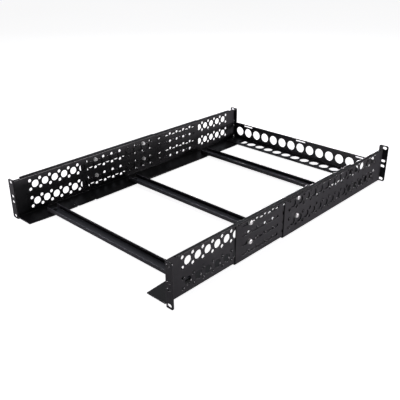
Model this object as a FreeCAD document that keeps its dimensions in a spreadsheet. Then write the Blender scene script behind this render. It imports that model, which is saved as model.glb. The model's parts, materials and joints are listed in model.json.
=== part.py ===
import FreeCAD
import Part
import Sketcher
import math
import os

# Adjustable 2U rail kit for a 19-inch four-post rack: two telescoping perforated rails of three
# nested sheet-metal sections each, three crossbars on the ledges and an L-shaped cable bar at the back.
# X runs across the rack, Y from the front ears to the rear ears, Z up. Lengths are millimetres.
# Bodies are drawn with Y counted from the front ears' face; the kit's origin is mid-depth, at the bottom.

DIMENSIONS = [
    # sheet metal and the rail profile
    ("sheet_thickness", 2.0),
    ("bend_radius", 1.0),
    ("half_width", 223.5),
    ("ledge_width", 48.5),
    ("flange_reach", 9.0),
    ("section_height", 83.6),
    # ears, to the 19-inch rack standard for two units
    ("ear_width", 17.8),
    ("ear_height", 88.1),
    ("ear_corner", 4.0),
    ("ear_hole_inset", 8.75),
    ("ear_hole_margin", 5.95),
    ("ear_hole_gap", 31.75),
    ("ear_pair_gap", 12.7),
    ("ear_slot_length", 10.0),
    ("ear_slot_width", 6.8),
    ("flange_start", 20.0),
    # perforation of the front and rear sections
    ("first_hole_inset", 38.6),
    ("column_pitch", 24.0),
    ("column_count", 15),
    ("end_margin", 16.2),
    ("column_steps", 26),
    ("row_top_margin", 12.2),
    ("row_bottom_margin", 13.05),
    ("small_hole", 7.5),
    ("big_hole", 16.5),
    # ledge of the front and rear sections
    ("lead_in_depth", 3.5),
    ("lead_in_length", 60.0),
    ("ledge_hole_start", 118.6),
    ("ledge_hole_pitch", 46.0),
    ("ledge_hole_inset", 14.0),
    ("ledge_hole", 4.5),
    ("ledge_notch", 5.0),
    # mid section and its slots
    ("mid_start", 168.5),
    ("mid_length", 380.0),
    ("slot_margin", 15.8),
    ("slot_gap", 12.7),
    ("slot_width", 7.0),
    ("middle_slot_length", 67.0),
    ("middle_slot_gap", 10.0),
    ("middle_hole", 9.0),
    # crossbars, channels that stand open side up on the ledges
    ("bar_depth", 26.0),
    ("bar_height", 9.5),
    ("bar_thickness", 1.5),
    ("bar_overlap", 26.0),
    ("front_bar_y", 70.0),
    ("middle_bar_y", 294.0),
    ("rear_screw_inset", 8.0),
    ("rear_bar_offset", 5.3),
    ("bar_screw_inset", 16.0),
    # cable bar
    ("cable_leg", 45.0),
    ("cable_end_gap", 0.2),
    ("cable_hole", 24.0),
    ("cable_hole_margin", 21.9),
    ("cable_tab", 9.0),
    ("tie_slot_length", 30.0),
    ("tie_slot_width", 3.5),
    ("tie_slot_inset", 4.5),
    ("tie_slot_steps", 6),
    # ledge screws
    ("ledge_screw", 4.8),
    ("ledge_screw_head", 9.0),
    ("ledge_screw_head_height", 2.8),
    # clamp screws, washers and nuts
    ("clamp_screw", 5.0),
    ("clamp_head", 9.4),
    ("clamp_head_height", 3.4),
    ("washer_diameter", 10.0),
    ("washer_thickness", 1.0),
    ("nut_width", 8.0),
    ("nut_height", 5.0),
    ("nut_flange", 11.8),
    ("nut_flange_thickness", 1.0),
    ("screw_tip", 1.0),
    ("front_clamp_column", 7),
    ("rear_clamp_column", 13),
    # fits
    ("hole_clearance", 0.3),
    ("tip_clearance", 0.3),
]

# Round holes of the cable bar on each side of the middle one, in its upright and its lower leg
FACE_HOLE_STEPS = 7
FLANGE_HOLE_STEPS = 6

# Lines of the kit that several pieces share, written in the sheet's names
OUTER_BEND = "(bend_radius + sheet_thickness)"
SECTION_LENGTH = "(first_hole_inset + (column_count - 1) * column_pitch + end_margin)"
DEPTH = "(2 * first_hole_inset + column_steps * column_pitch)"
EAR_EDGE = "(half_width + ear_width)"
TOP_ROW = "(2 * sheet_thickness + section_height - row_top_margin)"
ROW_PITCH = "((section_height - row_top_margin - row_bottom_margin) / 3)"
MID_CENTRE = "(mid_start + mid_length / 2)"
MIDDLE_HOLE_OFFSET = "(middle_slot_length / 2 + middle_slot_gap + middle_hole / 2)"
SLOT_LENGTH = f"(mid_length / 2 - slot_margin - slot_gap - middle_hole / 2 - {MIDDLE_HOLE_OFFSET})"
REAR_SCREW_Y = "(mid_start + mid_length - rear_screw_inset)"
LEDGE_EDGE = "(half_width - ledge_width)"
BAR_SCREW_X = f"({LEDGE_EDGE} + bar_screw_inset)"
CABLE_HALF = "(half_width + 2 * sheet_thickness - bend_radius - cable_end_gap)"
CABLE_SCREW_X = f"({CABLE_HALF} - cable_hole_margin)"
CABLE_PITCH = f"({CABLE_SCREW_X} / {FACE_HOLE_STEPS})"
CUT_THROUGH = "(4 * sheet_thickness)"

ROWS = range(4)
STEPS = {"front": 0, "mid": 1, "rear": 2}

doc = FreeCAD.newDocument("RackRailKit")
sheet = doc.addObject("Spreadsheet::Sheet", "dims")
for row, (name, size) in enumerate(DIMENSIONS, start=1):
    sheet.set(f"A{row}", name)
    sheet.set(f"B{row}", str(size))
    sheet.setAlias(f"B{row}", name)
doc.recompute()

NAMES = sorted((name for name, _ in DIMENSIONS), key=len, reverse=True)


def number(text):
    """The present value of a formula written in the sheet's names."""
    result = sheet.evalExpression(text)
    return float(getattr(result, "Value", result))


def linked(text):
    """The same formula with each name pointing at its cell of the sheet."""
    words, word = [], ""
    for char in text + " ":
        if char.isalnum() or char == "_":
            word += char
            continue
        words.append(f"dims.{word}" if word in NAMES else word)
        words.append(char)
        word = ""
    return "".join(words).strip()


def bind(thing, path, text):
    """Bind one property to a formula."""
    thing.setExpression(path, linked(text))


def new_body(label):
    """An empty body, drawn from the front ears' face and set back so that the origin is mid-depth."""
    body = doc.addObject("PartDesign::Body", label)
    body.Label = label
    bind(body, "Placement.Base.y", f"-{DEPTH} / 2")
    return body


def origin_part(body, role):
    """A base plane or axis of the body."""
    return next(part for part in body.Origin.OriginFeatures if part.Role == role)


def new_sketch(body, name, plane, offsets=None):
    """A sketch on a base plane, moved by formulas for its own x, y and normal."""
    sketch = body.newObject("Sketcher::SketchObject", f"{body.Label}_{name}")
    sketch.AttachmentSupport = (origin_part(body, plane), [""])
    sketch.MapMode = "FlatFace"
    for axis, text in (offsets or {}).items():
        bind(sketch, f"AttachmentOffset.Base.{axis}", text)
    return sketch


def bound_constraint(sketch, kind, where, text):
    """A dimension whose value follows a formula."""
    index = sketch.addConstraint(Sketcher.Constraint(kind, *where, number(text)))
    sketch.setExpression(f"Constraints[{index}]", linked(text))


def fix_point(sketch, edge, spot, point):
    """Hold a point at a place given by two formulas."""
    for kind, text in zip(("DistanceX", "DistanceY"), point):
        if number(text) < 0:
            bound_constraint(sketch, kind, (edge, spot, -1, 1), f"-({text})")
        else:
            bound_constraint(sketch, kind, (-1, 1, edge, spot), text)


def add_outline(sketch, corners, bends=None):
    """A closed outline; bends maps an edge's number to its radius and turn, 1 for left and -1 for right."""
    bends = bends or {}
    points = [FreeCAD.Vector(number(x), number(y), 0) for x, y in corners]
    edges = []
    for index, start in enumerate(points):
        end = points[(index + 1) % len(points)]
        if index not in bends:
            edges.append((sketch.addGeometry(Part.LineSegment(start, end)), 1, 2))
            continue
        radius, turn = number(bends[index][0]), bends[index][1]
        chord = end - start
        rise = math.sqrt(max(radius ** 2 - (chord.Length / 2) ** 2, 0))
        left = FreeCAD.Vector(-chord.y, chord.x, 0).normalize()
        centre = (start + end) / 2 + left * rise * turn
        first, last = (start, end) if turn > 0 else (end, start)
        angles = [math.atan2(point.y - centre.y, point.x - centre.x) for point in (first, last)]
        circle = Part.Circle(centre, FreeCAD.Vector(0, 0, 1), radius)
        edge = sketch.addGeometry(Part.ArcOfCircle(circle, *angles))
        edges.append((edge, 1, 2) if turn > 0 else (edge, 2, 1))
    for index, (edge, start_spot, end_spot) in enumerate(edges):
        following = edges[(index + 1) % len(edges)]
        sketch.addConstraint(Sketcher.Constraint("Coincident", edge, end_spot, following[0], following[1]))
        fix_point(sketch, edge, start_spot, corners[index])
        if index in bends:
            bound_constraint(sketch, "Radius", (edge,), bends[index][0])


def add_rectangle(sketch, low, high):
    """A rectangle between two corners."""
    add_outline(sketch, [low, (high[0], low[1]), high, (low[0], high[1])])


def add_circle(sketch, centre, diameter):
    """A circle at a place given by two formulas."""
    middle = FreeCAD.Vector(number(centre[0]), number(centre[1]), 0)
    edge = sketch.addGeometry(Part.Circle(middle, FreeCAD.Vector(0, 0, 1), number(diameter) / 2))
    fix_point(sketch, edge, 3, centre)
    bound_constraint(sketch, "Diameter", (edge,), diameter)


def add_slot(sketch, centre, length, width):
    """A round-ended slot along the sketch's x axis."""
    reach = f"(({length}) - ({width})) / 2"
    ends = [(f"{centre[0]} - {reach}", centre[1]), (f"{centre[0]} + {reach}", centre[1])]
    middles = [FreeCAD.Vector(number(x), number(y), 0) for x, y in ends]
    radius = number(width) / 2
    lift = FreeCAD.Vector(0, radius, 0)
    up = FreeCAD.Vector(0, 0, 1)
    quarter = math.pi / 2
    arcs = []
    for middle, start in zip(middles, (quarter, -quarter)):
        arc = Part.ArcOfCircle(Part.Circle(middle, up, radius), start, start + math.pi)
        arcs.append(sketch.addGeometry(arc))
    low = sketch.addGeometry(Part.LineSegment(middles[0] - lift, middles[1] - lift))
    high = sketch.addGeometry(Part.LineSegment(middles[1] + lift, middles[0] + lift))
    for pair in ((arcs[0], 2, low, 1), (low, 2, arcs[1], 1), (arcs[1], 2, high, 1), (high, 2, arcs[0], 1)):
        sketch.addConstraint(Sketcher.Constraint("Tangent", *pair))
    sketch.addConstraint(Sketcher.Constraint("Equal", arcs[0], arcs[1]))
    bound_constraint(sketch, "Radius", (arcs[0],), f"({width}) / 2")
    for arc, end in zip(arcs, ends):
        fix_point(sketch, arc, 3, end)


def add_pad(body, sketch, length, side="One side", reverse=False):
    """Extrude a sketch by a formula."""
    pad = body.newObject("PartDesign::Pad", f"{sketch.Name}_pad")
    pad.Profile = sketch
    pad.SideType = side
    pad.Reversed = reverse
    bind(pad, "Length", length)
    doc.recompute()
    return pad


def add_pocket(body, sketch, depth=None):
    """Cut a sketch out to both sides of its plane, right through or to a depth, and see that it cut."""
    before = body.Shape.Volume
    pocket = body.newObject("PartDesign::Pocket", f"{sketch.Name}_cut")
    pocket.Profile = sketch
    pocket.SideType = "Symmetric"
    if depth:
        bind(pocket, "Length", depth)
    else:
        pocket.Type = "ThroughAll"
    doc.recompute()
    if body.Shape.Volume >= before:
        raise RuntimeError(f"{pocket.Name} cut nothing")
    return pocket


def add_row(body, features, axis, count, spacing, reverse=False):
    """Repeat features along a base axis."""
    pattern = body.newObject("PartDesign::LinearPattern", f"{features[-1].Name}_row")
    pattern.Originals = features
    pattern.Direction = (origin_part(body, axis), [""])
    pattern.Mode = "Spacing"
    pattern.Reversed = reverse
    bind(pattern, "Offset", spacing)
    bind(pattern, "Occurrences", count)
    body.Tip = pattern
    doc.recompute()
    return pattern


def add_mirror(source, label):
    """The same piece on the other rail."""
    mirror = doc.addObject("Part::Mirroring", label)
    mirror.Label = label
    mirror.Source = source
    mirror.Normal = FreeCAD.Vector(1, 0, 0)
    return mirror


def row_z(row):
    """Height of a hole row, counted from the top."""
    return f"{TOP_ROW} - {row} * {ROW_PITCH}"


def rail_profile(body, step, start, length):
    """The Z-shaped rail: ledge inward, wall, narrow flange outward, one sheet out and down per step."""
    inner = f"half_width + {step} * sheet_thickness"
    outer = f"{inner} + sheet_thickness"
    ledge = f"{inner} - ledge_width"
    reach = f"{inner} + flange_reach"
    low = f"{2 - step} * sheet_thickness"
    high = f"{low} + section_height"
    sketch = new_sketch(body, "profile", "XZ_Plane", {"z": f"-({start})"})
    corners = [
        (ledge, low),
        (f"{outer} - {OUTER_BEND}", low),
        (outer, f"{low} + {OUTER_BEND}"),
        (outer, f"{high} - {OUTER_BEND}"),
        (f"{outer} + bend_radius", f"{high} - sheet_thickness"),
        (reach, f"{high} - sheet_thickness"),
        (reach, high),
        (f"{inner} + {OUTER_BEND}", high),
        (inner, f"{high} - {OUTER_BEND}"),
        (inner, f"{low} + {OUTER_BEND}"),
        (f"{inner} - bend_radius", f"{low} + sheet_thickness"),
        (ledge, f"{low} + sheet_thickness"),
    ]
    bends = {1: (OUTER_BEND, 1), 3: ("bend_radius", -1), 7: (OUTER_BEND, 1), 9: ("bend_radius", -1)}
    add_outline(sketch, corners, bends)
    return add_pad(body, sketch, length, reverse=True)


def ear(body, step):
    """The mounting ear, bent outward from the wall, with four slotted holes and round corners."""
    inner = f"half_width + {step} * sheet_thickness"
    outer = f"{inner} + sheet_thickness"
    sketch = new_sketch(body, "ear", "XY_Plane")
    corners = [
        (inner, OUTER_BEND),
        (f"{inner} + {OUTER_BEND}", "0"),
        (EAR_EDGE, "0"),
        (EAR_EDGE, "sheet_thickness"),
        (f"{outer} + bend_radius", "sheet_thickness"),
        (outer, OUTER_BEND),
    ]
    add_outline(sketch, corners, {0: (OUTER_BEND, 1), 4: ("bend_radius", -1)})
    plate = add_pad(body, sketch, "ear_height")
    edge_x = number(EAR_EDGE)
    rounded = [
        f"Edge{index}"
        for index, edge in enumerate(body.Shape.Edges, start=1)
        if all(abs(vertex.X - edge_x) < 0.01 for vertex in edge.Vertexes)
        and abs(edge.Vertexes[0].Z - edge.Vertexes[-1].Z) < 0.01
    ]
    fillet = body.newObject("PartDesign::Fillet", f"{body.Label}_ear_corners")
    fillet.Base = (plate, rounded)
    bind(fillet, "Radius", "ear_corner")
    doc.recompute()
    slots = new_sketch(body, "ear_slots", "XZ_Plane")
    lift = "ear_hole_margin"
    for gap in ("ear_hole_gap", "ear_pair_gap", "ear_hole_gap", None):
        add_slot(slots, (f"{EAR_EDGE} - ear_hole_inset", lift), "ear_slot_length", "ear_slot_width")
        lift = f"{lift} + {gap}"
    add_pocket(body, slots, CUT_THROUGH)


def perforation(body):
    """Rows of big round holes with small ones at their corners, the length of the wall."""
    small = new_sketch(body, "small_holes", "YZ_Plane")
    for row in ROWS:
        add_circle(small, ("first_hole_inset", row_z(row)), "small_hole")
    add_row(body, [add_pocket(body, small)], "Y_Axis", "column_count", "column_pitch")
    big = new_sketch(body, "big_holes", "YZ_Plane")
    for row in (0.5, 2.5):
        add_circle(big, ("first_hole_inset + column_pitch / 2", row_z(row)), "big_hole")
    add_row(body, [add_pocket(body, big)], "Y_Axis", "column_count - 1", "column_pitch")


def ledge_nose(body, step):
    """The ledge's flat, carried forward past the ear's bend to the ear's own plane."""
    inner = f"half_width + {step} * sheet_thickness"
    nose = new_sketch(body, "ledge_nose", "XY_Plane", {"z": f"{2 - step} * sheet_thickness"})
    add_rectangle(nose, (f"{inner} - ledge_width", "0"), (f"{inner} - bend_radius", OUTER_BEND))
    add_pad(body, nose, "sheet_thickness")


def ledge_cuts(body, step, screw_places):
    """Screw holes, small holes with edge notches and the tapered lead-in of a ledge."""
    edge = f"half_width + {step} * sheet_thickness - ledge_width"
    cuts = new_sketch(body, "ledge_cuts", "XY_Plane")
    for place in screw_places:
        add_circle(cuts, place, "ledge_screw + hole_clearance")
    for along in ("ledge_hole_start", "ledge_hole_start + ledge_hole_pitch"):
        add_circle(cuts, (f"{edge} + ledge_hole_inset", along), "ledge_hole")
        add_circle(cuts, (edge, along), "ledge_notch")
    add_outline(cuts, [(edge, "0"), (f"{edge} + lead_in_depth", "0"), (edge, "lead_in_length")])
    add_pocket(body, cuts)


def end_section(label, step, screw_places):
    """A front or rear section, drawn with its ear in front."""
    body = new_body(label)
    rail_profile(body, step, OUTER_BEND, f"{SECTION_LENGTH} - {OUTER_BEND}")
    relief = new_sketch(body, "flange_relief", "XY_Plane")
    outer = f"half_width + {step + 1} * sheet_thickness"
    add_rectangle(relief, (outer, "0"), (f"{outer} + flange_reach", "flange_start"))
    add_pocket(body, relief)
    ear(body, step)
    ledge_nose(body, step)
    perforation(body)
    ledge_cuts(body, step, screw_places)
    return body


def mid_section(label):
    """The section between them, with four rows of slots to slide along the clamp screws."""
    body = new_body(label)
    rail_profile(body, STEPS["mid"], "mid_start", "mid_length")
    slots = new_sketch(body, "slots", "YZ_Plane")
    reach = f"mid_length / 2 - slot_margin - {SLOT_LENGTH} / 2"
    for row in ROWS:
        add_slot(slots, (MID_CENTRE, row_z(row)), "middle_slot_length", "slot_width")
        for side in ("-", "+"):
            add_slot(slots, (f"{MID_CENTRE} {side} ({reach})", row_z(row)), SLOT_LENGTH, "slot_width")
            add_circle(slots, (f"{MID_CENTRE} {side} {MIDDLE_HOLE_OFFSET}", row_z(row)), "middle_hole")
    add_pocket(body, slots)
    hole = new_sketch(body, "screw_hole", "XY_Plane")
    add_circle(hole, (BAR_SCREW_X, REAR_SCREW_Y), "ledge_screw + hole_clearance")
    add_pocket(body, hole)
    return body


def crossbar(label, along, screw_line, ledge_top):
    """A channel, open side up, whose web lies on both ledges and is screwed to them."""
    body = new_body(label)
    bend = "(bend_radius + bar_thickness)"
    front, back = f"{along} - bar_depth / 2", f"{along} + bar_depth / 2"
    low, high = ledge_top, f"{ledge_top} + bar_height"
    sketch = new_sketch(body, "profile", "YZ_Plane")
    corners = [
        (f"{front} + {bend}", low),
        (f"{back} - {bend}", low),
        (back, f"{low} + {bend}"),
        (back, high),
        (f"{back} - bar_thickness", high),
        (f"{back} - bar_thickness", f"{low} + {bend}"),
        (f"{back} - {bend}", f"{low} + bar_thickness"),
        (f"{front} + {bend}", f"{low} + bar_thickness"),
        (f"{front} + bar_thickness", f"{low} + {bend}"),
        (f"{front} + bar_thickness", high),
        (front, high),
        (front, f"{low} + {bend}"),
    ]
    bends = {1: (bend, 1), 5: ("bend_radius", -1), 7: ("bend_radius", -1), 11: (bend, 1)}
    add_outline(sketch, corners, bends)
    add_pad(body, sketch, f"2 * ({LEDGE_EDGE} + bar_overlap)", side="Symmetric")
    holes = new_sketch(body, "screw_holes", "XY_Plane")
    for side in ("-", ""):
        add_circle(holes, (f"{side}{BAR_SCREW_X}", screw_line), "ledge_screw + hole_clearance")
    add_pocket(body, holes)
    return body


def cable_bar(label):
    """The L-shaped bar across the back: end tabs, round holes in both legs and tie slots at the edges."""
    body = new_body(label)
    low = "sheet_thickness"
    high = f"{low} + cable_leg"
    front = f"{DEPTH} - cable_leg"
    sketch = new_sketch(body, "profile", "YZ_Plane")
    corners = [
        (front, low),
        (f"{DEPTH} - {OUTER_BEND}", low),
        (DEPTH, f"{low} + {OUTER_BEND}"),
        (DEPTH, high),
        (f"{DEPTH} - sheet_thickness", high),
        (f"{DEPTH} - sheet_thickness", f"{low} + {OUTER_BEND}"),
        (f"{DEPTH} - {OUTER_BEND}", f"{low} + sheet_thickness"),
        (front, f"{low} + sheet_thickness"),
    ]
    add_outline(sketch, corners, {1: (OUTER_BEND, 1), 5: ("bend_radius", -1)})
    add_pad(body, sketch, f"2 * {CABLE_HALF}", side="Symmetric")
    cable_tabs(body, f"{low} + {OUTER_BEND}")
    cable_face_cuts(body, f"{high} - tie_slot_inset")
    cable_flange_cuts(body, f"{front} + tie_slot_inset")
    return body


def cable_tabs(body, low):
    """Upright tabs at both ends, against the walls and as high as the ears, round at their inner corner."""
    outer = "(half_width + 2 * sheet_thickness)"
    inner = f"({outer} - cable_tab)"
    tabs = new_sketch(body, "tabs", "XZ_Plane", {"z": f"-({DEPTH})"})
    for side, turn in (("", 1), ("-", -1)):
        corners = [
            (f"{side}{inner}", low),
            (f"{side}{outer}", low),
            (f"{side}{outer}", "ear_height"),
            (f"{side}({inner} + ear_corner)", "ear_height"),
            (f"{side}{inner}", "ear_height - ear_corner"),
        ]
        add_outline(tabs, corners, {3: ("ear_corner", turn)})
    add_pad(body, tabs, "sheet_thickness")


def cable_face_cuts(body, slot_line):
    """Round holes centred in the upright leg and three tie slots under its top edge."""
    cuts = new_sketch(body, "face_cuts", "XZ_Plane", {"z": f"-({DEPTH})"})
    for step in range(-FACE_HOLE_STEPS, FACE_HOLE_STEPS + 1):
        add_circle(cuts, (f"{step} * {CABLE_PITCH}", "sheet_thickness + cable_leg / 2"), "cable_hole")
    for side in (-1, 0, 1):
        centre = (f"{side} * tie_slot_steps * {CABLE_PITCH}", slot_line)
        add_slot(cuts, centre, "tie_slot_length", "tie_slot_width")
    add_pocket(body, cuts, CUT_THROUGH)


def cable_flange_cuts(body, slot_line):
    """Round holes in the lower leg under those above, a tie slot at its front edge and screw holes."""
    cuts = new_sketch(body, "flange_cuts", "XY_Plane", {"z": "sheet_thickness"})
    middle = f"{DEPTH} - cable_leg / 2"
    for step in range(-FLANGE_HOLE_STEPS, FLANGE_HOLE_STEPS + 1):
        add_circle(cuts, (f"{step} * {CABLE_PITCH}", middle), "cable_hole")
    add_slot(cuts, ("0", slot_line), "tie_slot_length", "tie_slot_width")
    for side in ("-", ""):
        add_circle(cuts, (f"{side}{CABLE_SCREW_X}", middle), "ledge_screw + hole_clearance")
    add_pocket(body, cuts, CUT_THROUGH)


def ledge_screws(label, across, along, seat, grip):
    """A pair of pan-head screws, one per ledge, whose tips end flush under the ledge."""
    body = new_body(label)
    sketch = new_sketch(body, "screw", "XZ_Plane", {"x": across, "y": seat, "z": f"-({along})"})
    corners = [
        ("0", f"-({grip} - tip_clearance)"),
        ("ledge_screw / 2", f"-({grip} - tip_clearance)"),
        ("ledge_screw / 2", "0"),
        ("ledge_screw_head / 2", "0"),
        ("ledge_screw_head / 2", "ledge_screw_head_height / 2"),
        ("ledge_screw_head / 2 - ledge_screw_head_height / 2", "ledge_screw_head_height"),
        ("0", "ledge_screw_head_height"),
    ]
    add_outline(sketch, corners, {4: ("ledge_screw_head_height / 2", 1)})
    turn = add_turn(body, sketch, "V_Axis")
    add_row(body, [turn], "X_Axis", "2", f"2 * {across}", reverse=True)
    return body


def add_turn(body, sketch, axis):
    """Revolve a half profile about its sketch's own axis."""
    turn = body.newObject("PartDesign::Revolution", f"{sketch.Name}_turn")
    turn.Profile = sketch
    turn.ReferenceAxis = (sketch, [axis])
    doc.recompute()
    return turn


def clamp_screws(label, column, wall_steps, tip_x):
    """Two pan-head clamp screws of the right rail, in the first and third hole rows, heads outside."""
    body = new_body(label)
    seat = f"half_width + {wall_steps} * sheet_thickness + washer_thickness"
    along = f"first_hole_inset + {column} * column_pitch"
    sketch = new_sketch(body, "screw", "XZ_Plane", {"x": seat, "y": row_z(0), "z": f"-({along})"})
    corners = [
        (f"({tip_x}) - ({seat})", "0"),
        ("clamp_head_height", "0"),
        ("clamp_head_height", "clamp_head / 2 - clamp_head_height / 2"),
        ("clamp_head_height / 2", "clamp_head / 2"),
        ("0", "clamp_head / 2"),
        ("0", "clamp_screw / 2"),
        (f"({tip_x}) - ({seat})", "clamp_screw / 2"),
    ]
    add_outline(sketch, corners, {2: ("clamp_head_height / 2", 1)})
    turn = add_turn(body, sketch, "H_Axis")
    add_row(body, [turn], "Z_Axis", "2", f"2 * {ROW_PITCH}", reverse=True)
    return body


def clamp_washers(label, column, wall_steps):
    """Flat washers under the clamp screws' heads."""
    body = new_body(label)
    seat = f"half_width + {wall_steps} * sheet_thickness"
    along = f"first_hole_inset + {column} * column_pitch"
    sketch = new_sketch(body, "washer", "YZ_Plane", {"z": seat})
    add_circle(sketch, (along, row_z(0)), "washer_diameter")
    add_circle(sketch, (along, row_z(0)), "clamp_screw + hole_clearance")
    pad = add_pad(body, sketch, "washer_thickness")
    add_row(body, [pad], "Z_Axis", "2", f"2 * {ROW_PITCH}", reverse=True)
    return body


def clamp_nuts(label, column):
    """Hexagon flange nuts on the front section's inner face."""
    body = new_body(label)
    along = f"first_hole_inset + {column} * column_pitch"
    flange = new_sketch(body, "flange", "YZ_Plane", {"z": "half_width"})
    add_circle(flange, (along, row_z(0)), "nut_flange")
    add_circle(flange, (along, row_z(0)), "clamp_screw + hole_clearance")
    washer = add_pad(body, flange, "nut_flange_thickness", reverse=True)
    hexagon = new_sketch(body, "hexagon", "YZ_Plane", {"z": "half_width"})
    corner = "nut_width / 2 / cos(30 deg)"
    places = []
    for turn in range(0, 360, 60):
        places.append((f"{along} + {corner} * cos({turn} deg)", f"{row_z(0)} + {corner} * sin({turn} deg)"))
    add_outline(hexagon, places)
    add_circle(hexagon, (along, row_z(0)), "clamp_screw + hole_clearance")
    nut = add_pad(body, hexagon, "nut_height", reverse=True)
    add_row(body, [washer, nut], "Z_Axis", "2", f"2 * {ROW_PITCH}", reverse=True)
    return body


def build_sections():
    """Both rails' sections; the rear one is drawn ear first and turned about Z."""
    front = end_section("front_section_right", STEPS["front"], [
        (BAR_SCREW_X, "front_bar_y"),
        (BAR_SCREW_X, "middle_bar_y"),
    ])
    mid = mid_section("mid_section_right")
    rear = end_section("rear_section_left", STEPS["rear"], [(CABLE_SCREW_X, "cable_leg / 2")])
    rear.Placement.Rotation = FreeCAD.Rotation(FreeCAD.Vector(0, 0, 1), 180)
    bind(rear, "Placement.Base.y", f"{DEPTH} / 2")
    return [
        front, add_mirror(front, "front_section_left"),
        mid, add_mirror(mid, "mid_section_left"),
        rear, add_mirror(rear, "rear_section_right"),
    ]


def build_bars():
    """Crossbars, cable bar and the screws that hold them to the ledges."""
    front_top = "(3 * sheet_thickness)"
    mid_top = "(2 * sheet_thickness)"
    grip = "(bar_thickness + sheet_thickness)"
    pieces = []
    for name, along, screw_line, top in (
        ("front_crossbar", "front_bar_y", "front_bar_y", front_top),
        ("middle_crossbar", "middle_bar_y", "middle_bar_y", front_top),
        ("rear_crossbar", f"{REAR_SCREW_Y} + rear_bar_offset", REAR_SCREW_Y, mid_top),
    ):
        pieces.append(crossbar(name, along, screw_line, top))
        seat = f"{top} + bar_thickness"
        pieces.append(ledge_screws(f"{name}_screws", BAR_SCREW_X, screw_line, seat, grip))
    pieces.append(cable_bar("cable_bar"))
    cable_line = f"{DEPTH} - cable_leg / 2"
    two_sheets = "(2 * sheet_thickness)"
    pieces.append(ledge_screws("cable_bar_screws", CABLE_SCREW_X, cable_line, two_sheets, two_sheets))
    return pieces


def build_clamps():
    """Clamp screws, washers and nuts of both rails."""
    inner_tip = "half_width - nut_height - screw_tip"
    slot_tip = "half_width + sheet_thickness + tip_clearance"
    pairs = [
        (
            clamp_screws("front_clamp_screws_right", "front_clamp_column", 2, inner_tip),
            "front_clamp_screws_left",
        ),
        (clamp_washers("front_clamp_washers_right", "front_clamp_column", 2), "front_clamp_washers_left"),
        (clamp_nuts("front_clamp_nuts_right", "front_clamp_column"), "front_clamp_nuts_left"),
        (clamp_screws("rear_clamp_screws_right", "rear_clamp_column", 3, slot_tip), "rear_clamp_screws_left"),
        (clamp_washers("rear_clamp_washers_right", "rear_clamp_column", 3), "rear_clamp_washers_left"),
    ]
    pieces = []
    for piece, other in pairs:
        pieces += [piece, add_mirror(piece, other)]
    return pieces


def check_and_export(pieces):
    """Stop on any failed object or bad shape, then write one file per piece."""
    doc.recompute()
    for thing in doc.Objects:
        if "Invalid" in thing.State or "Error" in thing.State:
            raise RuntimeError(f"{thing.Name} failed: {thing.State}")
    for piece in pieces:
        if piece.Shape.isNull() or not piece.Shape.isValid():
            raise RuntimeError(f"{piece.Label} has no valid shape")
    os.makedirs("parts", exist_ok=True)
    for piece in pieces:
        piece.Shape.exportStep(f"parts/{piece.Label}.step")
        print(piece.Label, len(piece.Shape.Solids), round(piece.Shape.Volume, 1))


check_and_export(build_sections() + build_bars() + build_clamps())
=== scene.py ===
import bpy
import bmesh
import json
import math
from mathutils import Matrix, Vector


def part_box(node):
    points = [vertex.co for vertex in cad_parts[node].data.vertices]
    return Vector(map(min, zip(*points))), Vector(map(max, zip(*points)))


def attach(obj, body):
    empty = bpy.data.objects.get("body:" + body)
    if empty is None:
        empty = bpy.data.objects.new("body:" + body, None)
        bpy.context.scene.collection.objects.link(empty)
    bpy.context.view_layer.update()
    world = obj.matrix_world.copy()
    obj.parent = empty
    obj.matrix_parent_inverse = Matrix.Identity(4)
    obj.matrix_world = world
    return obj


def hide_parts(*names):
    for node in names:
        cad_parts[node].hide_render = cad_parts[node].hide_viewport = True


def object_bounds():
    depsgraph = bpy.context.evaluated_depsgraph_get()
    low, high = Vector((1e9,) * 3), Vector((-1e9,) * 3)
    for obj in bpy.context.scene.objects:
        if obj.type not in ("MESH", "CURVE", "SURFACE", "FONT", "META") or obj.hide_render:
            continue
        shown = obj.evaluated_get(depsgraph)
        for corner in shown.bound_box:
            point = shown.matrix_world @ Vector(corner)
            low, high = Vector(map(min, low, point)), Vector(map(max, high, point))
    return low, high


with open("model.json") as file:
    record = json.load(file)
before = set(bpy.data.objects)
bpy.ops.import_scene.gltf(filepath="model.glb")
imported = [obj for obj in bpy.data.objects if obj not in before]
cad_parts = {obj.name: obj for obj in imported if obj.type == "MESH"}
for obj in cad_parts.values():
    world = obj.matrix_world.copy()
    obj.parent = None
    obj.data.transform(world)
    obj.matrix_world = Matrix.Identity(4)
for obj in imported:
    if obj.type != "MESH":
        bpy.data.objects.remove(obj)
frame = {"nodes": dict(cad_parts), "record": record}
cad_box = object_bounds()

# Sizes of the fasteners, in metres
CLAMP_HEAD_HEIGHT = 0.0034
CLAMP_SHANK_RADIUS = 0.0025
LEDGE_HEAD_HEIGHT = 0.0028
LEDGE_SHANK_RADIUS = 0.0024
SCREW_TIP = 0.001
THREAD_PITCH = 0.0008
THREAD_DEPTH = 0.0004
WASHER_BORE_RADIUS = 0.00265
SLIDE_GAP = 0.00002
NUT_WIDTH = 0.007
NUT_THREAD_RADIUS = 0.00285
NUT_FLANGE_RADIUS = 0.0046
NUT_FLANGE_THICKNESS = 0.001
HEAD_EDGE = 0.0002
SOFT_RIM = 0.00015

# How finely round pieces are drawn, and how near points are merged
AROUND = 40
RINGS_TO_A_TURN = 5
FEWEST_RINGS = 4
CROWN_RINGS = 8
DRILL_OVERRUN_RINGS = 3
MERGE_DISTANCE = 1e-7

# A screw's tip, as a share of its shank and in turns of thread
TIP_SHARE = 0.88
TIP_TURNS = 0.8

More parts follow.
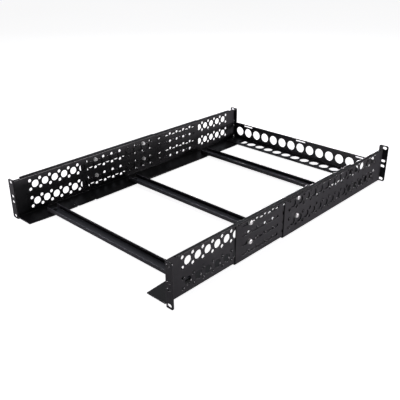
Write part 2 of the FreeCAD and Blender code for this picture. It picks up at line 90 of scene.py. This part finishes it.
# A screw's head, heights as shares of its own and reaches as shares of its radius
HEAD_SIDE_SHARE = 0.45
CROWN_RISE_SHARE = 0.43
CROWN_SAG_SHARE = 0.12
CROWN_FLAT_SHARE = 0.70
CROWN_TOP_SHARES = (0.55, 0.35, 0.12)

# A head's cross recess, in the same shares, and how far its arms narrow
RECESS_ARM_SHARE = 0.52
RECESS_WIDTH_SHARE = 0.17
RECESS_BOTTOM_SHARE = 0.35
RECESS_TOP_SHARE = 1.2
RECESS_NARROWING = 0.45

# A nut's end face and neck as shares of its width, its turned corners as a share of its thickness
NUT_FACE_SHARE = 0.47
NUT_NECK_SHARE = 0.48
NUT_CORNER_SHARE = 0.16
NUT_TURNING_CLEARANCE = 1.02

# A nut's collar, heights as shares of its thickness
COLLAR_TOP_SHARE = 1.5
COLLAR_SLOPE_SHARE = 0.55
COLLAR_EDGE_SHARE = 0.4

# Sockets of the Mix node when it blends colours
MIX_AMOUNT = 0
MIX_FIRST = 6
MIX_SECOND = 7
MIX_RESULT = 2

# How soft edges are found and how sharply they stand out
EDGE_SAMPLES = 6
EDGE_GAIN = 5.0

# The floor and the shell round it, in metres
FLOOR_HALF = 6.0
FLOOR_GAP = 0.0002
FLOOR_GLOW = 0.93
BACKDROP_RADIUS = 5.0
SURROUNDINGS_STRENGTH = 0.06

# The lights: name, place, width and height in metres, power in watts and colour
LIGHT_AIM = Vector((0.0, 0.0, 0.04))
WHITE = (1.0, 1.0, 1.0)
COOL = (0.84, 0.88, 1.0)
ROSY = (1.0, 0.95, 1.0)
LIGHTS = (
    ("overhead_light", (-0.3, 0.6, 1.9), (1.6, 1.6), 5.0, WHITE),
    ("back_light", (-1.35, 1.35, 0.9), (1.6, 0.9), 1.6, COOL),
    ("right_light", (2.2, 1.0, 0.1), (1.2, 0.16), 72.0, ROSY),
    ("front_light", (-0.7, -1.3, 0.11), (0.9, 0.2), 19.0, ROSY),
    ("left_light", (-1.3, -0.15, 0.055), (0.9, 0.1), 14.0, ROSY),
    ("rear_light", (-0.7, 1.3, 0.055), (0.9, 0.1), 14.0, ROSY),
)

# The photo's camera: angles in degrees, place in metres, lens and sensor in millimetres
CAMERA_AZIMUTH = 43.523
CAMERA_ELEVATION = 25.495
CAMERA_ROLL = -0.276
CAMERA_PLACE = (0.7864, -0.8618, 0.5511)
CAMERA_LENS = 51.601
CAMERA_SENSOR = 36.0
CAMERA_NEAR = 0.01

BODY_OF = {
    node: body
    for body, nodes in frame["record"]["behaviour"]["bodies"].items()
    for node in nodes
}
SLOT_OF = {part["node"]: part["material_slot"] for part in frame["record"]["subparts"]}


class Wire:
    """A socket that can be used in sums; each sum adds its Math nodes."""

    def __init__(self, finish, socket):
        self.finish = finish
        self.socket = socket

    def _sum(self, operation, first, second):
        return self.finish.node("ShaderNodeMath", {"operation": operation}, {0: first, 1: second})

    def __add__(self, other):
        return self._sum("ADD", self, other)

    def __radd__(self, other):
        return self._sum("ADD", other, self)

    def __sub__(self, other):
        return self._sum("SUBTRACT", self, other)

    def __rsub__(self, other):
        return self._sum("SUBTRACT", other, self)

    def __mul__(self, other):
        return self._sum("MULTIPLY", self, other)

    def __rmul__(self, other):
        return self._sum("MULTIPLY", other, self)

    def clamped(self):
        """The value held between 0 and 1."""
        return self.finish.node("ShaderNodeClamp", {}, {"Value": self})


class Finish:
    """A material that is put together from nodes."""

    def __init__(self, name):
        self.material = bpy.data.materials.new(name)
        self.material.use_nodes = True
        self.tree = self.material.node_tree
        self.tree.nodes.clear()

    def node(self, kind, settings=None, values=None, out=0):
        """Add a node, set it up, fill or link its sockets and hand back one of its outputs."""
        made = self.tree.nodes.new(kind)
        for name, setting in (settings or {}).items():
            setattr(made, name, setting)
        for name, value in (values or {}).items():
            if isinstance(value, Wire):
                self.tree.links.new(value.socket, made.inputs[name])
            else:
                made.inputs[name].default_value = value
        return Wire(self, made.outputs[out])

    def object_place(self):
        """Object coordinates."""
        return self.node("ShaderNodeTexCoord", out="Object")

    def noise(self, place, scale, detail=2.0, roughness=0.5):
        """Noise from 0 to 1 at a scale per metre."""
        values = {"Vector": place, "Scale": scale, "Detail": detail, "Roughness": roughness}
        return self.node("ShaderNodeTexNoise", {}, values)

    def blend(self, amount, first, second):
        """A colour between two others."""
        values = {MIX_AMOUNT: amount, MIX_FIRST: first, MIX_SECOND: second}
        return self.node("ShaderNodeMix", {"data_type": "RGBA"}, values, out=MIX_RESULT)

    def face_normal(self):
        """The surface's own normal."""
        return self.node("ShaderNodeNewGeometry", out="Normal")

    def soft_edges(self, radius):
        """Normals rounded over the sharp edges, and how strongly each place is an edge."""
        rounded = self.node("ShaderNodeBevel", {"samples": EDGE_SAMPLES}, {"Radius": radius})
        both = {0: rounded, 1: self.face_normal()}
        along = self.node("ShaderNodeVectorMath", {"operation": "DOT_PRODUCT"}, both, out="Value")
        return rounded, ((1.0 - along) * EDGE_GAIN).clamped()

    def facing_up(self):
        """1 where the surface is level and faces up, 0 where it stands."""
        lift = self.node("ShaderNodeSeparateXYZ", {}, {"Vector": self.face_normal()}, out="Z")
        return (lift * 2.0 - 1.0).clamped()

    def bumps(self, strength, distance, height, normal):
        """Normals that follow a height."""
        values = {"Strength": strength, "Distance": distance, "Height": height, "Normal": normal}
        return self.node("ShaderNodeBump", {}, values)

    def surface(self, values):
        """Close the material with a shader that takes these values."""
        return self.close(self.node("ShaderNodeBsdfPrincipled", {}, values))

    def close(self, shader):
        """Link a shader to the material's output and hand back the material."""
        output = self.tree.nodes.new("ShaderNodeOutputMaterial")
        self.tree.links.new(shader.socket, output.inputs["Surface"])
        return self.material


def powder_coat(name, deep, pale, painted_top_light=None):
    """Satin powder coat between two shades: orange peel, clouding, rubbed edges and, if given, painted
    light that makes its upward faces paler.
    """
    coat = Finish(name)
    place = coat.object_place()
    grain = coat.noise(place, scale=1500.0)
    peel = coat.noise(place, scale=420.0, detail=1.0)
    cloud = coat.noise(place, scale=14.0, detail=3.0, roughness=0.6)
    rounded, edge = coat.soft_edges(radius=0.0007)
    rubbed = (0.075, 0.075, 0.082, 1.0)
    body = coat.blend(cloud, deep, pale)
    # Painted light from above: upward faces are painted paler, more where the clouding is pale.
    if painted_top_light:
        body = coat.blend(coat.facing_up() * (0.6 + 0.4 * cloud), body, painted_top_light)
    colour = coat.blend(edge * 0.5 * cloud, body, rubbed)
    roughness = 0.36 + (cloud - 0.5) * 0.14 + (grain - 0.5) * 0.10
    normal = coat.bumps(strength=0.22, distance=0.00009, height=grain * 0.6 + peel, normal=rounded)
    return coat.surface({"Base Color": colour, "Roughness": roughness, "Normal": normal})


def plating(name, tints, rubbed, wear, patches, gloss, metallic):
    """Plating clouded between two tints: patches to the metre, fine grain and edges rubbed paler."""
    plate = Finish(name)
    place = plate.object_place()
    cloud = plate.noise(place, scale=patches, detail=3.0, roughness=0.6)
    grain = plate.noise(place, scale=5200.0)
    rounded, edge = plate.soft_edges(radius=0.00025)
    body = plate.blend(cloud, *tints)
    colour = plate.blend(edge * wear, body, rubbed)
    roughness = gloss + cloud * 0.16 + (grain - 0.5) * 0.08
    normal = plate.bumps(strength=0.15, distance=0.00004, height=grain, normal=rounded)
    return plate.surface({
        "Base Color": colour, "Roughness": roughness, "Normal": normal, "Metallic": metallic,
    })


def zinc_plate(name, blue, straw, metallic):
    """Zinc plating, clouded between a blue and a straw tint."""
    pale = (0.86, 0.86, 0.86, 1.0)
    return plating(name, (blue, straw), pale, wear=0.6, patches=260.0, gloss=0.24, metallic=metallic)


def black_plate():
    """Black zinc plating with a dark, slightly uneven sheen."""
    tints = (0.020, 0.020, 0.023, 1.0), (0.042, 0.041, 0.045, 1.0)
    grey = (0.12, 0.12, 0.125, 1.0)
    return plating("black_zinc_plating", tints, grey, wear=0.5, patches=300.0, gloss=0.34, metallic=0.6)


FINISHES = {
    "black_powder_coat": powder_coat(
        "satin_black_powder_coat", (0.0058, 0.0056, 0.0070, 1.0), (0.0110, 0.0106, 0.0126, 1.0)
    ),
    "zinc_steel": zinc_plate(
        "bright_zinc_plating", (0.56, 0.57, 0.60, 1.0), (0.74, 0.73, 0.69, 1.0), metallic=0.45
    ),
    "black_zinc": black_plate(),
}
# The crossbars' upward faces get painted light from above: a paler colour stands for their lit tops.
CROSSBAR_COAT = powder_coat(
    "blue_black_powder_coat_painted_lit", (0.006, 0.006, 0.0078, 1.0), (0.0115, 0.0115, 0.0145, 1.0),
    painted_top_light=(0.14, 0.145, 0.18, 1.0),
)
NUT_PLATING = zinc_plate(
    "dull_zinc_plating", (0.78, 0.79, 0.82, 1.0), (0.90, 0.89, 0.86, 1.0), metallic=0.05
)
OWN_FINISHES = {
    "front_crossbar": CROSSBAR_COAT,
    "middle_crossbar": CROSSBAR_COAT,
    "rear_crossbar": CROSSBAR_COAT,
    "front_clamp_nuts_left": NUT_PLATING,
    "front_clamp_nuts_right": NUT_PLATING,
}


def finish_of(node):
    """A CAD node's own finish, or else that of its slot."""
    return OWN_FINISHES.get(node, FINISHES[SLOT_OF[node]])


def new_piece(name, mesh):
    """An object at the origin with this mesh."""
    piece = bpy.data.objects.new(name, mesh)
    bpy.context.scene.collection.objects.link(piece)
    return piece


def plain_mesh(name, build):
    """A mesh with what was built, just as it is."""
    mesh = bpy.data.meshes.new(name)
    build.to_mesh(mesh)
    build.free()
    return mesh


def solid_mesh(name, build):
    """A closed mesh with what was built, doubles merged and faces turned outward."""
    bmesh.ops.remove_doubles(build, verts=build.verts, dist=MERGE_DISTANCE)
    bmesh.ops.recalc_face_normals(build, faces=build.faces)
    return plain_mesh(name, build)


def joined_mesh(name, meshes):
    """Several meshes as one."""
    build = bmesh.new()
    for mesh in meshes:
        build.from_mesh(mesh)
    return plain_mesh(name, build)


def add_walls(build, low, high):
    """Faces between two loops of as many points."""
    for step in range(len(low)):
        after = (step + 1) % len(low)
        build.faces.new((low[step], low[after], high[after], high[step]))


def add_prism(build, low_points, high_points):
    """A block between a lower and an upper outline."""
    low = [build.verts.new(point) for point in low_points]
    high = [build.verts.new(point) for point in high_points]
    build.faces.new(list(reversed(low)))
    build.faces.new(high)
    add_walls(build, low, high)


def turned_mesh(name, rings, closed_ends=True):
    """A round piece about Z from rings of a radius at each angle and a height."""
    build = bmesh.new()
    loops = []
    for radius_at, height in rings:
        loop = []
        for step in range(AROUND):
            angle = 2 * math.pi * step / AROUND
            radius = radius_at(angle)
            loop.append(build.verts.new((radius * math.cos(angle), radius * math.sin(angle), height)))
        loops.append(loop)
    for low, high in zip(loops, loops[1:]):
        add_walls(build, low, high)
    if closed_ends:
        build.faces.new(list(reversed(loops[0])))
        build.faces.new(loops[-1])
    return solid_mesh(name, build)


def plain(radius):
    """A ring's radius that is the same all round."""
    return lambda angle: radius


def plain_rings(profile):
    """Rings from pairs of a radius and a height."""
    return [(plain(radius), height) for radius, height in profile]


def thread_radius(outer, height):
    """Radius of a helical thread at one height."""
    def at(angle):
        phase = (height / THREAD_PITCH - angle / (2 * math.pi)) % 1.0
        return outer - THREAD_DEPTH * abs(2 * phase - 1)
    return at


def thread_steps(length):
    """How many rings a length of thread is drawn with."""
    return max(int(length / THREAD_PITCH * RINGS_TO_A_TURN), FEWEST_RINGS)


def shank_rings(radius, bottom, top, tip):
    """Threaded rings from one height up to another, narrowed towards the height of the tip."""
    length = top - bottom
    steps = thread_steps(length)
    rings = []
    for step in range(steps + 1):
        height = bottom + length * step / steps
        taper = min(abs(height - tip) / (TIP_TURNS * THREAD_PITCH), 1.0)
        outer = radius * (TIP_SHARE + (1.0 - TIP_SHARE) * taper)
        rings.append((thread_radius(outer, height), height))
    return rings


def head_rings(radius, height):
    """Rings of a pan head from its seat to its top, a straight side under a rounded crown."""
    side = height * HEAD_SIDE_SHARE
    rings = plain_rings([(radius - HEAD_EDGE, 0.0), (radius, HEAD_EDGE), (radius, side)])
    for step in range(1, CROWN_RINGS):
        turn = math.pi / 2 * step / CROWN_RINGS
        reach = radius * (CROWN_FLAT_SHARE + (1.0 - CROWN_FLAT_SHARE) * math.cos(turn))
        rings.append((plain(reach), side + height * CROWN_RISE_SHARE * math.sin(turn)))
    for share in CROWN_TOP_SHARES:
        sag = CROWN_SAG_SHARE * (share / CROWN_FLAT_SHARE) ** 2
        rings.append((plain(radius * share), height * (1.0 - sag)))
    return rings


def cross_mesh(head_radius, head_height):
    """The tapered cross that is struck into a screw's head."""
    build = bmesh.new()
    arm, width = head_radius * RECESS_ARM_SHARE, head_radius * RECESS_WIDTH_SHARE
    bottom, top = head_height * RECESS_BOTTOM_SHARE, head_height * RECESS_TOP_SHARE
    corners = ((-1, -1), (1, -1), (1, 1), (-1, 1))
    for along_x in (True, False):
        outlines = []
        for height, share in ((bottom, RECESS_NARROWING), (top, 1.0)):
            places = [(arm * share * x, width * y) for x, y in corners]
            if not along_x:
                places = [(-y, x) for x, y in places]
            outlines.append([(x, y, height) for x, y in places])
        add_prism(build, *outlines)
    return solid_mesh("cross_recess", build)


def cut_mesh(blank, cutter, operation="DIFFERENCE"):
    """The blank's mesh after a cut, or after keeping what it shares with the cutter."""
    cut = blank.modifiers.new("cut", "BOOLEAN")
    cut.operation = operation
    cut.solver = "EXACT"
    cut.use_self = True
    cut.object = cutter
    return evaluated_mesh(blank)


def evaluated_mesh(piece):
    """A plain mesh of a piece with its modifiers applied."""
    graph = bpy.context.evaluated_depsgraph_get()
    return bpy.data.meshes.new_from_object(piece.evaluated_get(graph))


def remove_pieces(*pieces):
    """Take away the helpers of a cut."""
    for piece in pieces:
        bpy.data.objects.remove(piece)


def screw_mesh(head_radius, head_height, shank_radius, length):
    """A pan-head screw about Z, seat at zero and tip below, with a thread and a cross recess."""
    rings = shank_rings(shank_radius, -length, 0.0, tip=-length) + head_rings(head_radius, head_height)
    blank = new_piece("screw_blank", turned_mesh("screw_blank", rings))
    cutter = new_piece("cross_recess", cross_mesh(head_radius, head_height))
    mesh = cut_mesh(blank, cutter)
    remove_pieces(blank, cutter)
    return mesh


def screw_end_mesh(length):
    """The threaded end of a clamp screw about Z, from zero up to its tip."""
    return turned_mesh("screw_end", shank_rings(CLAMP_SHANK_RADIUS, 0.0, length, tip=length))


def washer_mesh(radius, thickness):
    """A flat washer about Z with softened rims, just clear of the sheet at zero that slides under it."""
    bore, rim = WASHER_BORE_RADIUS, SOFT_RIM
    profile = [
        (bore, rim), (bore, thickness - rim), (bore + rim, thickness), (radius - rim, thickness),
        (radius, thickness - rim), (radius, rim), (radius - rim, SLIDE_GAP), (bore + rim, SLIDE_GAP),
        (bore, rim),
    ]
    return turned_mesh("washer", plain_rings(profile), closed_ends=False)


def collar_mesh():
    """The sloped collar at a flange nut's seat, about Z."""
    bore, reach, neck = NUT_THREAD_RADIUS, NUT_FLANGE_RADIUS, NUT_WIDTH * NUT_NECK_SHARE
    top = NUT_FLANGE_THICKNESS * COLLAR_TOP_SHARE
    slope = NUT_FLANGE_THICKNESS * COLLAR_SLOPE_SHARE
    edge = NUT_FLANGE_THICKNESS * COLLAR_EDGE_SHARE
    profile = [
        (bore, 0.0), (bore, top), (neck, top), (reach - SOFT_RIM, slope), (reach, edge),
        (reach, SOFT_RIM), (reach - SOFT_RIM, 0.0), (bore, 0.0),
    ]
    return turned_mesh("collar", plain_rings(profile), closed_ends=False)


def hexagon_mesh(thickness):
    """A hexagon nut about Z, seat at zero, corners turned off at both ends and a threaded bore."""
    corner = NUT_WIDTH / 2 / math.cos(math.pi / 6)
    angles = [math.pi / 3 * step for step in range(6)]
    outline = [(corner * math.cos(angle), corner * math.sin(angle)) for angle in angles]
    build = bmesh.new()
    add_prism(build, [(x, y, 0.0) for x, y in outline], [(x, y, thickness) for x, y in outline])
    blank = new_piece("nut_blank", solid_mesh("nut_blank", build))
    face, side = NUT_WIDTH * NUT_FACE_SHARE, corner * NUT_TURNING_CLEARANCE
    cut = thickness * NUT_CORNER_SHARE
    turning = plain_rings([(face, 0.0), (side, cut), (side, thickness - cut), (face, thickness)])
    shaper = new_piece("nut_turning", turned_mesh("nut_turning", turning))
    shaped = new_piece("nut_shaped", cut_mesh(blank, shaper, "INTERSECT"))
    steps = thread_steps(thickness)
    drilled = range(-DRILL_OVERRUN_RINGS, steps + DRILL_OVERRUN_RINGS + 1)
    heights = [thickness * step / steps for step in drilled]
    bore = [(thread_radius(NUT_THREAD_RADIUS, height), height) for height in heights]
    drill = new_piece("nut_drill", turned_mesh("nut_drill", bore))
    mesh = cut_mesh(shaped, drill)
    remove_pieces(blank, shaper, shaped, drill)
    return mesh


def flange_nut_mesh(thickness, filled=False):
    """A hexagon nut with its collar, corners in line with Y, and if filled a screw's end in its bore."""
    parts = [hexagon_mesh(thickness), collar_mesh()]
    if filled:
        parts.append(screw_end_mesh(thickness + SCREW_TIP))
    mesh = joined_mesh("flange_nut", parts)
    mesh.transform(Matrix.Rotation(math.pi / 2, 4, "Z"))
    return mesh


def fastener_row_tree():
    """Nodes that set copies of a fastener in a row: how many, and the step between them."""
    tree = bpy.data.node_groups.new("fastener_row", "GeometryNodeTree")
    sockets = {}
    for name, kind in (
        ("Fastener", "NodeSocketGeometry"), ("Count", "NodeSocketInt"),
        ("Step", "NodeSocketVector"), ("Finish", "NodeSocketMaterial"),
    ):
        sockets[name] = tree.interface.new_socket(name, in_out="INPUT", socket_type=kind).identifier
    tree.interface.new_socket("Row", in_out="OUTPUT", socket_type="NodeSocketGeometry")
    nodes = {
        name: tree.nodes.new(kind)
        for name, kind in (
            ("in", "NodeGroupInput"), ("line", "GeometryNodeMeshLine"),
            ("copies", "GeometryNodeInstanceOnPoints"), ("real", "GeometryNodeRealizeInstances"),
            ("finish", "GeometryNodeSetMaterial"), ("out", "NodeGroupOutput"),
        )
    }
    for source, output, target, socket in (
        ("in", "Count", "line", "Count"), ("in", "Step", "line", "Offset"),
        ("line", "Mesh", "copies", "Points"), ("in", "Fastener", "copies", "Instance"),
        ("copies", "Instances", "real", "Geometry"), ("real", "Geometry", "finish", "Geometry"),
        ("in", "Finish", "finish", "Material"), ("finish", "Geometry", "out", "Row"),
    ):
        tree.links.new(nodes[source].outputs[output], nodes[target].inputs[socket])
    return tree, sockets


ROW_TREE, ROW_SOCKETS = fastener_row_tree()


def fastener_pair(name, like, mesh, seat, axis, step):
    """Put up a pair of one fastener, with the body and the finish of a CAD node like it."""
    finish = finish_of(like)
    turn = Vector((0, 0, 1)).rotation_difference(Vector(axis)).to_matrix().to_4x4()
    mesh.transform(Matrix.Translation(seat) @ turn)
    piece = new_piece(name, mesh)
    row = piece.modifiers.new("row", "NODES")
    row.node_group = ROW_TREE
    row[ROW_SOCKETS["Count"]] = 2
    row[ROW_SOCKETS["Step"]] = step
    row[ROW_SOCKETS["Finish"]] = finish
    finished = evaluated_mesh(piece)
    piece.modifiers.clear()
    piece.data = finished
    finished.materials.clear()
    finished.materials.append(finish)
    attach(piece, BODY_OF[like])
    return piece


def stand_in(node, mesh, seat, axis, step):
    """Put up a pair of detailed fasteners where a CAD node has plain ones, in that node's place."""
    piece = fastener_pair(f"{node}_detailed", node, mesh, seat, axis, step)
    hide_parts(node)


class RailPair:
    """Where a CAD node has its two fasteners on a rail, one above the other."""

    def __init__(self, node):
        low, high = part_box(node)
        self.outward = 1 if low[0] + high[0] > 0 else -1
        self.near, self.far = sorted((abs(low[0]), abs(high[0])))
        self.radius = (high[1] - low[1]) / 2
        self.along = (low[1] + high[1]) / 2
        self.height = high[2] - self.radius
        self.step = Vector((0, 0, low[2] + self.radius - self.height))

    def seat(self, reach):
        return Vector((self.outward * reach, self.along, self.height))


def clamp_screw_pair(node):
    """Clamp screws, heads outward."""
    pair = RailPair(node)
    reach = pair.far - CLAMP_HEAD_HEIGHT
    mesh = screw_mesh(pair.radius, CLAMP_HEAD_HEIGHT, CLAMP_SHANK_RADIUS, reach - pair.near)
    stand_in(node, mesh, pair.seat(reach), (pair.outward, 0, 0), pair.step)


def clamp_washer_pair(node):
    """Washers under the clamp screws' heads."""
    pair = RailPair(node)
    mesh = washer_mesh(pair.radius, pair.far - pair.near)
    stand_in(node, mesh, pair.seat(pair.near), (pair.outward, 0, 0), pair.step)


def clamp_nut_pair(node):
    """Flange nuts on the rail's inside."""
    pair = RailPair(node)
    mesh = flange_nut_mesh(pair.far - pair.near)
    stand_in(node, mesh, pair.seat(pair.far), (-pair.outward, 0, 0), pair.step)


def closed_nut_pair(side):
    """Nuts with a screw's end in each, inside the front section where the rear clamp screws point."""
    nuts = f"front_clamp_nuts_{side}"
    nut = RailPair(nuts)
    screw = RailPair(f"rear_clamp_screws_{side}")
    mesh = flange_nut_mesh(nut.far - nut.near, filled=True)
    inward = (-nut.outward, 0, 0)
    fastener_pair(f"rear_clamp_nuts_{side}_detailed", nuts, mesh, screw.seat(nut.far), inward, screw.step)


def ledge_screw_pair(node):
    """Ledge screws, one on each side, heads up."""
    low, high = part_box(node)
    radius = (high[1] - low[1]) / 2
    seat_height = high[2] - LEDGE_HEAD_HEIGHT
    mesh = screw_mesh(radius, LEDGE_HEAD_HEIGHT, LEDGE_SHANK_RADIUS, seat_height - low[2])
    seat = Vector((low[0] + radius, (low[1] + high[1]) / 2, seat_height))
    step = Vector((high[0] - radius - seat.x, 0, 0))
    stand_in(node, mesh, seat, (0, 0, 1), step)


def dress_fasteners():
    """Detailed screws, washers and nuts for all the plain ones, and the nuts that the CAD lacks."""
    for place in ("front", "rear"):
        for side in ("left", "right"):
            clamp_screw_pair(f"{place}_clamp_screws_{side}")
            clamp_washer_pair(f"{place}_clamp_washers_{side}")
    for side in ("left", "right"):
        clamp_nut_pair(f"front_clamp_nuts_{side}")
        closed_nut_pair(side)
    for bar in ("front_crossbar", "middle_crossbar", "rear_crossbar", "cable_bar"):
        ledge_screw_pair(f"{bar}_screws")


def dress_nodes():
    """Each CAD node's own finish: powder coat on the sheet metal, plating on the fasteners."""
    for node, piece in frame["nodes"].items():
        piece.data.materials.clear()
        piece.data.materials.append(finish_of(node))


def floor():
    """A plain pale floor under the ears, left out of reflections."""
    build = bmesh.new()
    bmesh.ops.create_grid(build, x_segments=1, y_segments=1, size=FLOOR_HALF)
    sheet = new_piece("floor", plain_mesh("floor", build))
    pale = Finish("pale_floor")
    cloud = pale.noise(pale.object_place(), scale=0.8)
    colour = pale.blend(cloud, (0.93, 0.93, 0.935, 1.0), (0.95, 0.95, 0.955, 1.0))
    sheet.data.materials.append(pale.surface({
        "Base Color": colour, "Roughness": 0.9, "Emission Color": colour, "Emission Strength": FLOOR_GLOW,
    }))
    sheet.location.z = cad_box[0][2] - FLOOR_GAP
    sheet.visible_glossy = False


def backdrop():
    """A pale shell round the floor that only the camera sees, so that it adds no light."""
    build = bmesh.new()
    bmesh.ops.create_icosphere(build, subdivisions=4, radius=BACKDROP_RADIUS)
    shell = new_piece("backdrop", plain_mesh("backdrop", build))
    pale = Finish("pale_backdrop")
    cloud = pale.noise(pale.object_place(), scale=0.3)
    colour = pale.blend(cloud, (0.97, 0.97, 0.975, 1.0), (1.0, 1.0, 1.0, 1.0))
    shell.data.materials.append(pale.close(pale.node("ShaderNodeEmission", {}, {"Color": colour})))
    shell.visible_diffuse = False
    shell.visible_glossy = False
    shell.visible_transmission = False
    shell.visible_shadow = False


def studio():
    """Dim surroundings, large soft lights overhead and behind, and a low strip on each side."""
    world = bpy.data.worlds.new("studio")
    bpy.context.scene.world = world
    world.use_nodes = True
    surroundings = world.node_tree.nodes["Background"].inputs
    surroundings["Color"].default_value = (1.0, 1.0, 1.0, 1.0)
    surroundings["Strength"].default_value = SURROUNDINGS_STRENGTH
    for name, place, (width, height), power, colour in LIGHTS:
        lamp = bpy.data.lights.new(name, "AREA")
        lamp.shape = "RECTANGLE"
        lamp.size = width
        lamp.size_y = height
        lamp.energy = power
        lamp.color = colour
        light = bpy.data.objects.new(name, lamp)
        bpy.context.scene.collection.objects.link(light)
        light.location = place
        light.rotation_euler = (LIGHT_AIM - Vector(place)).to_track_quat("-Z", "Y").to_euler()


def camera():
    """The photo's view: from the front right, above."""
    azimuth, elevation = math.radians(CAMERA_AZIMUTH), math.radians(CAMERA_ELEVATION)
    roll = math.radians(CAMERA_ROLL)
    level = Vector((math.sin(azimuth), -math.cos(azimuth), 0.0))
    back = level * math.cos(elevation) + Vector((0.0, 0.0, math.sin(elevation)))
    right = Vector((math.cos(azimuth), math.sin(azimuth), 0.0))
    up = back.cross(right)
    rolled_right = right * math.cos(roll) + up * math.sin(roll)
    rolled_up = up * math.cos(roll) - right * math.sin(roll)
    turn = Matrix((rolled_right, rolled_up, back)).transposed().to_4x4()
    view = bpy.data.cameras.new("camera")
    view.sensor_width = CAMERA_SENSOR
    view.lens = CAMERA_LENS
    view.clip_start = CAMERA_NEAR
    eye = bpy.data.objects.new("camera", view)
    eye.matrix_world = Matrix.Translation(CAMERA_PLACE) @ turn
    bpy.context.scene.collection.objects.link(eye)
    bpy.context.scene.camera = eye


dress_nodes()
dress_fasteners()
floor()
backdrop()
studio()
camera()
bpy.context.scene.view_settings.view_transform = "Standard"
